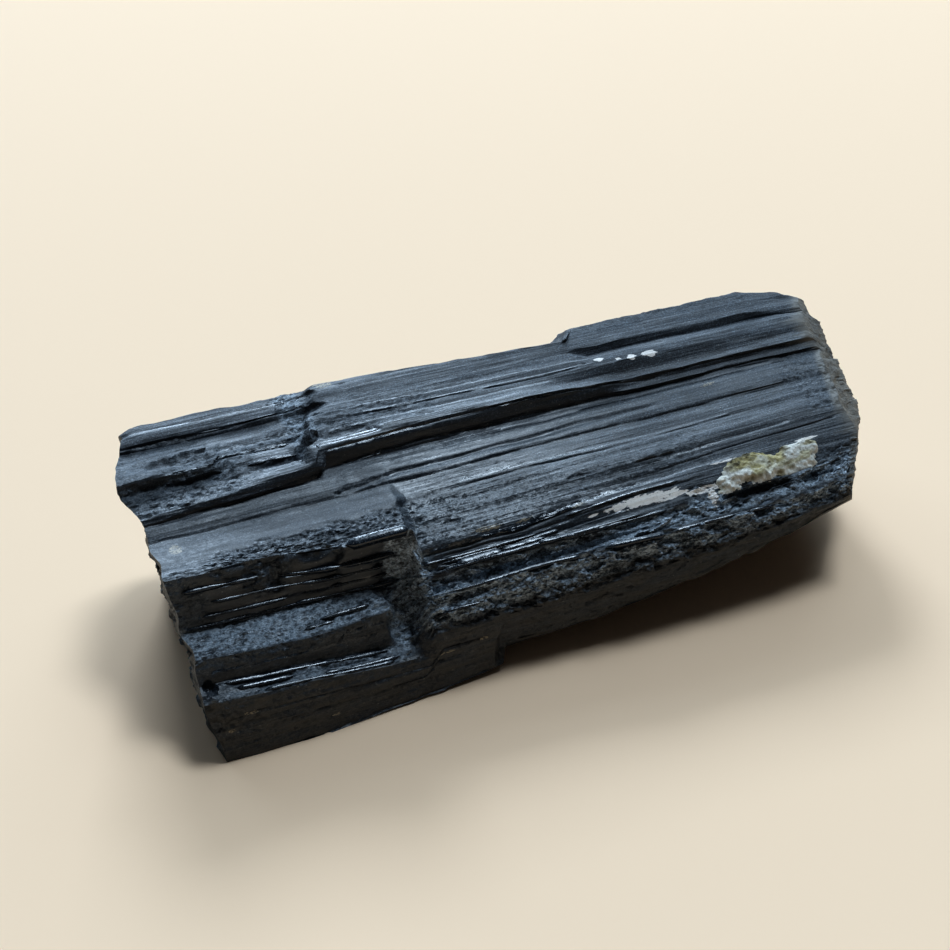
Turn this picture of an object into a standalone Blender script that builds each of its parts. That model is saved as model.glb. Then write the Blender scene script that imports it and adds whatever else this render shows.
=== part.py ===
"""A black tourmaline crystal (schorl) lying on one of its prism faces, with a crust of feldspar on it.

The prism runs along +X. Its outline is carried by named edges that run the length of the crystal, each a few
(x, y, z) points in millimetres. The skin is stretched between neighbouring edges, so that every edge stays a
crisp ledge, groove or rib, and both ends are closed by broken, stepped faces.
"""

import bmesh
import bpy
import numpy as np

MM = 0.001

# ---- The edges that run along the prism --------------------------------------------------------------------
# Each goes from the left break to the right one. They are listed round the section, from the front foot up
# the near side, over the top, down the back and under. Where two points of an edge are close in x, the edge
# jumps there, and a broken wall crosses the prism.

EDGES = {
    # Near side: the lower face, a narrow strip, a riser, the shelf, the tall riser and the main facet.
    "foot": (
        (-30, -13.2, 0), (-20, -13.5, 0), (-9, -12.6, 0.3), (-4.3, -12.3, 0.7), (-3.7, -11.4, 1.8),
        (5, -12.3, 2.6), (10, -12.5, 3.4), (17, -12.4, 4.5), (24, -12.4, 5.9), (30, -11.7, 7.0),
        (38, -10.6, 8.0),
    ),
    "face_top": (
        (-30, -11.9, 5.2), (-20, -12.2, 4.7), (-14, -12.0, 3.8), (-10.6, -11.7, 3.5), (-9.4, -11.5, 5.3),
        (0, -11.5, 5.1), (10, -12.3, 6.1), (24, -12.3, 7.3), (30, -11.6, 7.7), (38, -10.5, 8.6),
    ),
    "strip_back": (
        (-30, -10.2, 5.7), (-20, -10.5, 5.2), (-14, -10.4, 4.3), (-11.0, -10.2, 4.1), (-9.5, -10.9, 6.5),
        (0, -11.0, 6.6), (10, -11.9, 7.4), (24, -12.0, 8.1), (30, -11.3, 8.2), (38, -10.2, 9.1),
    ),
    "shelf_edge": (
        (-30, -9.5, 7.7), (-20, -9.9, 7.1), (-12.6, -9.6, 7.3), (-11.9, -8.6, 5.2), (-10.4, -8.6, 5.4),
        (-9.5, -10.2, 7.9), (0, -10.3, 8.0), (10, -11.2, 8.7), (24, -11.6, 8.8), (30, -10.9, 9.0),
        (38, -9.8, 9.9),
    ),
    "furrow": (
        (-30, -8.6, 7.85), (-20, -8.7, 7.3), (-12.8, -8.7, 7.5), (-11.8, -8.0, 6.2), (-10.2, -8.0, 6.6),
        (-9.3, -9.4, 7.9), (0, -9.5, 8.1), (8, -10.1, 8.9), (16, -10.6, 9.25), (30, -10.1, 9.4),
        (38, -8.9, 10.2),
    ),
    "shelf_back": (
        (-30, -6.8, 8.3), (-20, -6.6, 7.9), (-13, -7.0, 8.0), (-11.6, -6.7, 7.4), (-9.8, -6.9, 8.0),
        (-9.1, -8.6, 8.9), (0, -8.7, 9.0), (10, -9.3, 9.8), (24, -9.5, 9.9), (30, -9.1, 9.9),
        (38, -7.9, 10.7),
    ),
    "riser_top": (
        (-30, -5.4, 12.6), (-20, -5.4, 12.0), (-15.6, -5.6, 11.6), (-15.2, -6.2, 12.0),
        (-9.4, -6.6, 12.4), (-8.9, -7.3, 9.8), (0, -7.4, 9.9), (6, -7.4, 10.75), (10, -7.2, 10.95),
        (30, -7.1, 11.0), (38, -6.0, 11.5),
    ),
    "crack_top": (
        (-30, -5.2, 12.65), (-20, -5.0, 12.1), (-15.3, -5.4, 11.8), (-9.5, -5.9, 12.4),
        (-8.8, -7.1, 10.4), (0, -7.2, 10.45), (6, -6.9, 11.0), (30, -6.6, 11.25), (38, -5.6, 11.7),
    ),
    "facet_low": (
        (-30, -4.7, 12.7), (-20, -4.1, 12.3), (-9.5, -4.1, 12.4), (-8.6, -3.9, 11.8), (0, -3.9, 11.8),
        (10, -4.8, 12.1), (38, -4.2, 12.4),
    ),
    "crease_low": ((-30, -1.0, 13.0), (38, -1.0, 13.0)),
    "crease_high": ((-30, -0.8, 13.3), (-24, -0.75, 13.45), (38, -0.75, 13.4)),
    "band_top": ((-30, 0.3, 13.6), (-14, 0.85, 13.75), (38, 1.0, 13.75)),
    # Top: the long dark riser and the raised ridge block behind it, which starts at a broken wall.
    "ridge_foot": (
        (-30, 0.5, 13.65), (-14.6, 1.1, 13.8), (-14, 1.9, 13.9), (0, 2.2, 13.95), (38, 2.05, 13.8),
    ),
    "rib_front": (
        (-30, 0.6, 13.8), (-20, 0.8, 14.1), (-14.6, 1.2, 14.2), (-14, 2.1, 14.4), (0, 2.35, 14.5),
        (12, 2.3, 14.4), (16, 2.15, 14.25), (38, 2.15, 14.2),
    ),
    "rib_back": (
        (-30, 0.7, 13.9), (-20, 0.9, 14.3), (-14.6, 1.35, 14.5), (-14, 2.3, 15.0), (0, 2.6, 15.1),
        (12, 2.5, 14.9), (16, 2.75, 14.45), (38, 2.7, 14.35),
    ),
    "ridge_front": (
        (-30, 0.9, 14.05), (-20, 1.1, 14.6), (-14.7, 1.6, 14.9), (-14.1, 2.5, 15.6), (-4, 2.9, 15.7),
        (5, 2.75, 15.8), (12, 2.7, 15.4), (16, 2.9, 14.95), (38, 2.85, 14.85),
    ),
    "ridge_groove": (
        (-30, 2.4, 14.4), (-15, 2.7, 14.9), (-14.2, 3.5, 15.9), (5, 3.8, 15.85), (15, 3.7, 15.15),
        (38, 3.6, 15.05),
    ),
    "pit_near": (
        (-30, 3.7, 14.6), (-21.8, 3.7, 14.8), (-21.2, 3.9, 15.1), (-14.6, 3.9, 15.2), (-14.0, 5.0, 16.25),
        (12, 4.7, 16.0), (38, 4.5, 15.4),
    ),
    "pit_far": (
        (-30, 4.3, 15.6), (-21.8, 4.2, 15.6), (-21.0, 5.4, 15.4), (-13.9, 5.6, 15.5), (-13.3, 6.2, 16.5),
        (12, 5.8, 16.15), (38, 5.6, 15.6),
    ),
    "far_groove": (
        (-30, 8.7, 15.3), (-20, 8.1, 15.55), (-12.9, 7.9, 15.8), (-12.2, 7.5, 16.65), (0, 6.6, 16.35),
        (11.5, 6.7, 16.25), (12.5, 6.9, 15.7), (30, 6.8, 15.5), (38, 6.3, 15.2),
    ),
    "far_strip": (
        (-30, 9.0, 15.8), (-20, 8.5, 16.1), (-12.8, 8.3, 16.3), (-12.1, 8.1, 16.8), (0, 7.4, 16.55),
        (11.4, 7.3, 16.35), (12.4, 7.3, 16.35), (30, 7.2, 16.1), (38, 6.6, 15.3),
    ),
    "far_edge": (
        (-30, 10.2, 15.4), (-27.6, 11.0, 16.3), (-20, 10.6, 16.4), (-12.6, 10.3, 16.5),
        (-11.9, 9.9, 17.2), (0, 9.2, 17.0), (11.4, 8.6, 16.7), (12.6, 10.2, 16.8), (30, 10.3, 16.5),
        (34, 9.4, 16.1), (38, 7.2, 15.2),
    ),
    # Back: a shoulder, a rib, the tall back face and a broken lower ledge.
    "back_shoulder": (
        (-30, 12.1, 14.2), (-11, 12.0, 15.0), (11.5, 11.4, 14.9), (13, 12.3, 15.0), (33, 12.0, 14.4),
        (38, 9.6, 13.8),
    ),
    "rib_top": ((-30, 13.0, 12.4), (6, 13.0, 12.0), (7, 12.5, 12.0), (33, 12.7, 11.6), (38, 10.7, 11.2)),
    "rib_low": ((-30, 12.5, 11.6), (6, 12.4, 11.1), (7, 12.4, 11.3), (33, 12.4, 10.8), (38, 10.5, 10.4)),
    "back_low": ((-30, 12.9, 6.6), (-2, 13.2, 6.2), (33, 12.7, 6.6), (38, 10.6, 7.0)),
    "ledge_out": (
        (-30, 12.6, 5.4), (-18, 12.8, 4.4), (-17, 12.0, 4.9), (10, 12.3, 4.4), (11, 12.7, 3.6),
        (33, 12.2, 4.4), (38, 10.2, 5.4),
    ),
    "ledge_in": (
        (-30, 11.6, 4.9), (-18, 12.0, 3.4), (-17, 10.9, 4.3), (10, 11.2, 4.0), (11, 12.0, 2.4),
        (33, 11.2, 3.6), (38, 9.4, 4.8),
    ),
    "back_foot": ((-30, 10.6, 0.9), (-10, 10.9, 0.6), (20, 10.4, 0.7), (33, 9.4, 2.0), (38, 7.8, 3.6)),
    # Sole: the flat that the crystal rests on, and the facet that rises to the lifted front foot.
    "sole_far": ((-30, 9.6, 0), (16, 9.2, 0), (28, 7.6, 0.9), (38, 5.8, 2.6)),
    "sole_near": (
        (-30, -12.4, 0), (-10, -11.4, 0), (-3, -9.6, 0), (16, -4.2, 0), (28, -2.4, 1.6), (38, -1.5, 3.6),
    ),
    "under_rib": (
        (-30, -12.9, 0), (-10, -12.1, 0.1), (-3, -10.4, 0.6), (16, -8.2, 1.9), (28, -7.4, 3.8),
        (38, -6.4, 5.4),
    ),
}

# How far across each strip, as shares of its width, extra lengthwise lines run. They carry the fine relief.
LINES_IN_STRIP = {
    "foot": (0.2, 0.4, 0.6, 0.8),
    "strip_back": (0.5,),
    "furrow": (0.5,),
    "shelf_back": (0.35, 0.7),
    "crack_top": (0.5,),
    "facet_low": (0.35, 0.7),
    "pit_far": (0.5,),
    "far_edge": (0.5,),
    "back_shoulder": (0.5,),
    "rib_low": (0.33, 0.67),
    "ledge_in": (0.5,),
}

# ---- Sizes of the surface relief and of the broken ends, in millimetres ------------------------------------

LEFT_BREAK, RIGHT_BREAK = -28.0, 34.0
END_ZONE = 8.0
STATION_STEP, FINE_STEP = 0.86, 0.42
FINE_ZONES = ((-15.6, -8.4), (-4.8, -3.0), (11.0, 13.2))

STRIA_WIDTH, STRIA_LENGTH, STRIA_DEPTH = 0.9, 16.0, 0.16
WAVE_WIDTH, WAVE_LENGTH, WAVE_DEPTH = 5.0, 9.0, 0.12
GRAIN_WIDTH, GRAIN_LENGTH = 0.9, 1.3
WALL_JITTER, JITTER_WIDTH = 0.45, 1.1

# Granular, broken areas of the skin: from this edge to that one, from x to x, and how deep they are worn.
ROUGH_PATCHES = (
    ("ridge_front", "pit_near", -30, -15.0, 0.40),
    ("pit_far", "far_groove", -30, -14.0, 0.35),
    ("riser_top", "crease_low", -24, -9.0, 0.16),
    ("shelf_edge", "shelf_back", -28, -12.0, 0.22),
    ("strip_back", "shelf_edge", -30, -9.0, 0.25),
    ("face_top", "furrow", -9.5, 40.0, 0.40),
    ("furrow", "shelf_back", -9.5, 40.0, 0.25),
    ("crack_top", "crease_low", -9.0, 16.0, 0.16),
    ("ridge_groove", "far_groove", -13.5, -4.0, 0.18),
    ("far_edge", "back_shoulder", -30, 40.0, 0.25),
    ("ledge_out", "sole_far", -30, 40.0, 0.40),
    ("sole_near", "face_top", -9.0, 40.0, 0.15),
)

# The broken ends, as planes x = at + per_y * y + per_z * z, and the hollows and lumps on them. On the left a
# tongue of the ridge reaches further out.
LEFT_PLANE = (-27.0, 0.07, -0.14)
RIGHT_PLANES = (
    (36.2, 0.12, 0.0),  # the end face
    (38.3, 0.72, 0.0),  # the corner cut off towards the near side
    (53.3, 0.66, -1.43),  # the bevel along the top
    (31.8, 0.25, 0.75),  # the undercut
)
LUMP_SIZE, LUMP_DEPTH = 6.0, 1.1
BITE_SIZE, BITE_DEPTH = 2.4, 0.35
RIM_SHARE, RIGHT_SHARE = 0.35, 0.6
TONGUE_Y, TONGUE_Z, TONGUE_REACH = (3.5, 7.0), (14.2, 18.0), 1.4
CAP_RINGS = (0.9, 0.74, 0.56, 0.37, 0.18)
LEFT_CENTRE, RIGHT_CENTRE = (-0.5, 5.5), (0.5, 8.5)

# The feldspar crust lies on the strip above the shelf back, and this gap parts it from the crystal.
CRUST_STRIP, CRUST_LAST_STRIP = "shelf_back", "crack_top"
CRUST_MIDDLE_X, CRUST_HALF_LENGTH = 23.2, 5.4
CRUST_MIDDLE_Y, CRUST_HALF_WIDTH = -7.8, 1.35
CRUST_GAP, CRUST_RIM, CRUST_CROWN, CRUST_LUMP = 0.32, 0.28, 0.45, 0.4
CRUST_BLUNT = 2.8
CRUST_OUTWARD = np.array([0.0, -0.42, 0.907])
CRUST_RINGS, CRUST_SIDES = 5, 32


# ---- Repeatable noise --------------------------------------------------------------------------------------

LATTICE = 64


def smooth_noise(a, b, seed):
    """Soft bumps between -1 and 1, about one unit across, over two coordinates."""
    lattice = np.random.default_rng(seed).uniform(-1, 1, (LATTICE, LATTICE))
    low_a, low_b = np.floor(a).astype(int), np.floor(b).astype(int)
    part_a, part_b = a - low_a, b - low_b
    part_a = part_a * part_a * (3 - 2 * part_a)
    part_b = part_b * part_b * (3 - 2 * part_b)
    value = 0.0
    for step_a, share_a in ((0, 1 - part_a), (1, part_a)):
        for step_b, share_b in ((0, 1 - part_b), (1, part_b)):
            corner = lattice[(low_a + step_a) % LATTICE, (low_b + step_b) % LATTICE]
            value = value + corner * share_a * share_b
    return value


def chips(a, b, seed):
    """Flat tilted chips between about -1 and 1, one unit across, with a step between neighbours."""
    height, tilt_a, tilt_b = np.random.default_rng(seed).uniform(-1, 1, (3, LATTICE, LATTICE))
    low_a, low_b = np.floor(a).astype(int), np.floor(b).astype(int)
    cell = (low_a % LATTICE, low_b % LATTICE)
    slope = tilt_a[cell] * (a - low_a - 0.5) + tilt_b[cell] * (b - low_b - 0.5)
    return 0.5 * (height[cell] + slope)


def inside(value, low, high, soft):
    """1 between low and high, falling to 0 over a soft border outside them."""
    return np.clip((value - low) / soft + 1, 0, 1) * np.clip((high - value) / soft + 1, 0, 1)


# ---- The skin of the prism ---------------------------------------------------------------------------------

NAMES = list(EDGES)


def edge_at(number, x):
    """Where the edge with this number runs at each x: its y and its z."""
    points = np.array(EDGES[NAMES[number % len(NAMES)]], float)
    return np.interp(x, points[:, 0], points[:, 1]), np.interp(x, points[:, 0], points[:, 2])


def skin_at(x, place):
    """y and z of the plain skin at each x. A place is an edge's number plus a share of the strip past it."""
    number = int(place)
    share = place - number
    near_y, near_z = edge_at(number, x)
    far_y, far_z = edge_at(number + 1, x)
    return near_y + (far_y - near_y) * share, near_z + (far_z - near_z) * share


def lengthwise_places():
    """The places of all lines that run along the prism, each edge followed by the lines in its strip."""
    places = []
    for number, name in enumerate(NAMES):
        places.append(float(number))
        places += [number + share for share in LINES_IN_STRIP.get(name, ())]
    return np.array(places)


def stations():
    """The x of each section, closer together where a broken wall crosses the prism."""
    marks = [LEFT_BREAK]
    while marks[-1] < RIGHT_BREAK - STATION_STEP / 2:
        fine = any(low <= marks[-1] < high for low, high in FINE_ZONES)
        marks.append(marks[-1] + (FINE_STEP if fine else STATION_STEP))
    return np.array(marks[:-1] + [RIGHT_BREAK])


def girth_of(places):
    """How far round the middle section each place lies, in millimetres."""
    points = np.array([skin_at(np.array([0.0]), place) for place in places])[:, :, 0]
    steps = np.linalg.norm(np.diff(points, axis=0), axis=1)
    return np.concatenate([[0], np.cumsum(steps)])


def relief(x, girth, places):
    """How far the skin stands out of its plain form: striae along it, soft waves and granular patches."""
    depth = STRIA_DEPTH * smooth_noise(x / STRIA_LENGTH, girth / STRIA_WIDTH, 11)
    depth = depth + WAVE_DEPTH * smooth_noise(x / WAVE_LENGTH, girth / WAVE_WIDTH, 12)
    grain = chips(x / GRAIN_LENGTH, girth / GRAIN_WIDTH, 13) - 0.35
    for near, far, low, high, worn in ROUGH_PATCHES:
        border = 0.5 * smooth_noise(x / 2.0, girth / 2.0, 14)
        across = inside(places, NAMES.index(near) + 0.1, NAMES.index(far) - 0.1, 0.2)
        depth = depth + worn * grain * across * inside(x + border, low, high, 0.8)
    under_crust = inside(places, NAMES.index(CRUST_STRIP), NAMES.index(CRUST_LAST_STRIP) + 0.5, 0.01)
    reach = CRUST_HALF_LENGTH + STATION_STEP
    under_crust = under_crust * inside(x, CRUST_MIDDLE_X - reach, CRUST_MIDDLE_X + reach, 0.5)
    return depth * (1 - under_crust)


def broken_relief(y, z, inward, seed):
    """The hollows and lumps of a broken end, shallower at its rim: inward runs from 0 there to 1."""
    lumps = LUMP_DEPTH * smooth_noise(y / LUMP_SIZE, z / LUMP_SIZE, seed)
    bites = BITE_DEPTH * smooth_noise(y / BITE_SIZE, z / BITE_SIZE, seed + 1)
    return (lumps + bites) * (RIM_SHARE + (1 - RIM_SHARE) * min(3 * inward, 1))


def left_end(y, z, inward=0.0):
    """x of the left break: an uneven, nearly square fracture, with a tongue near its top."""
    at, per_y, per_z = LEFT_PLANE
    tongue = TONGUE_REACH * inside(y, *TONGUE_Y, 3.0) * inside(z, *TONGUE_Z, 1.0)
    return at + per_y * y + per_z * z + broken_relief(y, z, inward, 21) - tongue


def right_end(y, z, inward=0.0):
    """x of the right end: a leaning face with a bevel above it and an undercut below."""
    reach = np.min([at + per_y * y + per_z * z for at, per_y, per_z in RIGHT_PLANES], axis=0)
    return reach + RIGHT_SHARE * broken_relief(y, z, inward, 23)


def line_to_ends(nominal, place):
    """The x values of one lengthwise line, stretched near its ends to reach the two broken faces."""
    left, right = LEFT_BREAK, RIGHT_BREAK
    for _ in range(4):
        left = float(left_end(*skin_at(left, place)))
        right = float(right_end(*skin_at(right, place)))
    left_share = np.clip((LEFT_BREAK + END_ZONE - nominal) / END_ZONE, 0, 1)
    right_share = np.clip((nominal - RIGHT_BREAK + END_ZONE) / END_ZONE, 0, 1)
    return nominal + left_share * (left - LEFT_BREAK) + right_share * (right - RIGHT_BREAK)


def prism_skin():
    """The grid of skin points, one row for each station and one column for each lengthwise line."""
    places, nominal = lengthwise_places(), stations()
    girth = girth_of(places)
    x = np.stack([line_to_ends(nominal, place) for place in places], axis=1)
    looked_up = x + WALL_JITTER * smooth_noise(girth / JITTER_WIDTH, 0 * girth, 15)
    sections = [skin_at(looked_up[:, column], place) for column, place in enumerate(places)]
    y, z = np.stack([s[0] for s in sections], axis=1), np.stack([s[1] for s in sections], axis=1)
    along_y = np.roll(y, -1, axis=1) - np.roll(y, 1, axis=1)
    along_z = np.roll(z, -1, axis=1) - np.roll(z, 1, axis=1)
    length = np.hypot(along_y, along_z)
    depth = relief(x, girth, places)
    resting = z < 0.01
    y = y - np.where(resting, 0, depth * along_z / length)
    z = np.where(resting, 0, np.maximum(z + depth * along_y / length, 0))
    return np.stack([x, y, z], axis=-1)


def cap_rings(ring, centre, end):
    """Rings that shrink from an end of the skin to a centre, on the broken face that end() gives."""
    middle = np.array(centre)
    rings = []
    for share in (*CAP_RINGS, 0.0):
        flat = middle + (ring[:, 1:] - middle) * share
        x = end(flat[:, 0], flat[:, 1], 1 - share)
        rings.append(np.column_stack([x, flat])[: 1 if share == 0 else None])
    return rings


# ---- Blender objects ---------------------------------------------------------------------------------------


def clear_scene():
    for thing in list(bpy.data.objects):
        bpy.data.objects.remove(thing)


def make_material(name, colour, roughness):
    material = bpy.data.materials.new(name)
    material.use_nodes = True
    shader = material.node_tree.nodes["Principled BSDF"]
    shader.inputs["Base Color"].default_value = (*colour, 1)
    shader.inputs["Roughness"].default_value = roughness
    shader.inputs["Metallic"].default_value = 0
    return material


def closed_solid(name, rings, material):
    """One object whose skin runs from the first ring to the last. A ring of one point closes an end."""
    form = bmesh.new()
    rows = [[form.verts.new(point * MM) for point in ring] for ring in rings]
    for row, following in zip(rows, rows[1:]):
        sides = max(len(row), len(following))
        for side in range(sides):
            after = (side + 1) % sides
            corners = [row[side % len(row)], following[side % len(following)]]
            if len(following) > 1:
                corners.append(following[after])
            if len(row) > 1:
                corners.append(row[after])
            form.faces.new(corners)
    bmesh.ops.recalc_face_normals(form, faces=form.faces)
    mesh = bpy.data.meshes.new(name)
    form.to_mesh(mesh)
    form.free()
    mesh.materials.append(material)
    thing = bpy.data.objects.new(name, mesh)
    bpy.context.scene.collection.objects.link(thing)
    return thing


def crystal_rings():
    """All rings of the crystal, from the middle of the left break to the middle of the right one."""
    skin = prism_skin()
    left = cap_rings(skin[0], LEFT_CENTRE, left_end)
    right = cap_rings(skin[-1], RIGHT_CENTRE, right_end)
    return left[::-1] + list(skin) + right


def height_at(x, y):
    """z of the plain skin under the crust at one point."""
    numbers = range(NAMES.index(CRUST_STRIP), NAMES.index(CRUST_LAST_STRIP) + 2)
    section = np.array([edge_at(number, x) for number in numbers])
    return np.interp(y, section[:, 0], section[:, 1])


def crust_rings():
    """Rings of the crust: its underside from the middle out, then its lumpy top back to the middle."""
    turn = np.linspace(0, 2 * np.pi, CRUST_SIDES, endpoint=False)
    powers = np.abs(np.cos(turn)) ** CRUST_BLUNT + np.abs(np.sin(turn)) ** CRUST_BLUNT
    blunt = powers ** (-1 / CRUST_BLUNT)
    outline = blunt * (0.86 + 0.08 * np.cos(3 * turn + 0.6) + 0.05 * np.cos(7 * turn + 2.0))

    def ring(spread, height):
        angle, reach = (turn, spread * outline) if spread else (turn[:1], np.zeros(1))
        x = CRUST_MIDDLE_X + CRUST_HALF_LENGTH * reach * np.cos(angle)
        y = CRUST_MIDDLE_Y + CRUST_HALF_WIDTH * reach * np.sin(angle)
        z = np.array([height_at(*point) for point in zip(x, y)])
        lift = CRUST_GAP + height * (1 + CRUST_LUMP * smooth_noise(x / 1.1, y / 0.8, 32))
        return np.column_stack([x, y, z]) + lift[:, None] * CRUST_OUTWARD

    spreads = np.linspace(0, 1, CRUST_RINGS + 1)
    under = [ring(spread, 0.0) for spread in spreads]
    over = [ring(spread, CRUST_RIM + CRUST_CROWN * (1 - spread**2)) for spread in spreads[::-1]]
    return under + over


def main():
    clear_scene()
    schorl = make_material("black_schorl", (0.012, 0.014, 0.018), 0.32)
    feldspar = make_material("pale_feldspar", (0.66, 0.64, 0.56), 0.85)
    crystal, crust = crystal_rings(), crust_rings()
    corners = np.concatenate(crystal)
    low, high = corners.min(axis=0), corners.max(axis=0)
    origin = np.array([(low[0] + high[0]) / 2, (low[1] + high[1]) / 2, low[2]])
    closed_solid("tourmaline_crystal", [ring - origin for ring in crystal], schorl)
    closed_solid("feldspar_crust", [ring - origin for ring in crust], feldspar)


main()
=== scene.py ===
"""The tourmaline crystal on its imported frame: its worked skin, fine ribs, feldspar crust, floor and light.

Lengths are in millimetres until the meshes are made. The crystal's skin is given along two directions: x
along the prism, and a place round it. A place is the number of a named edge plus a share of the strip past
that edge.
"""

import bpy
import numpy as np
from mathutils import Matrix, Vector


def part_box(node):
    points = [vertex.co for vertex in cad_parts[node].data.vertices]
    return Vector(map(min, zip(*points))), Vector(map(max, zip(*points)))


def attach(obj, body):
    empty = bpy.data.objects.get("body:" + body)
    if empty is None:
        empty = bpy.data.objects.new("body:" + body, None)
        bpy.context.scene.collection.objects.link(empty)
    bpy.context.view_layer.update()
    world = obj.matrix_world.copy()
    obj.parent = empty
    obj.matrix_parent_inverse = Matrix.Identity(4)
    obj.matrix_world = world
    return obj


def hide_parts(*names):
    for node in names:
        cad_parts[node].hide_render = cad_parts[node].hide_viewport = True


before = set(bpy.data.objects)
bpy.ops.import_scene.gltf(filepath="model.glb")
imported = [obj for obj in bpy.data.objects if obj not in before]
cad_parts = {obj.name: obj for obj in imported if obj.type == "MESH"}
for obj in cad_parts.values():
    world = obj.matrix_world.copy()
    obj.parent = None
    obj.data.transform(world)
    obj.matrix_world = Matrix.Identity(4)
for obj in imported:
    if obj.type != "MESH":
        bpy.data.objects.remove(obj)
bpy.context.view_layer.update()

MM = 0.001
MOST_TRIANGLES = 190000

# Where the frame's origin lies in the millimetres below.
ORIGIN = np.array([3.658, -0.132, 0.0])

# ---- The edges that run along the prism ----
# Each goes from the left break to the right one. They are listed round the section, from the front foot up
# the near side, over the top, down the back and under. Where two points of an edge are close in x, the edge
# jumps there, and a broken wall crosses the prism.

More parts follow.
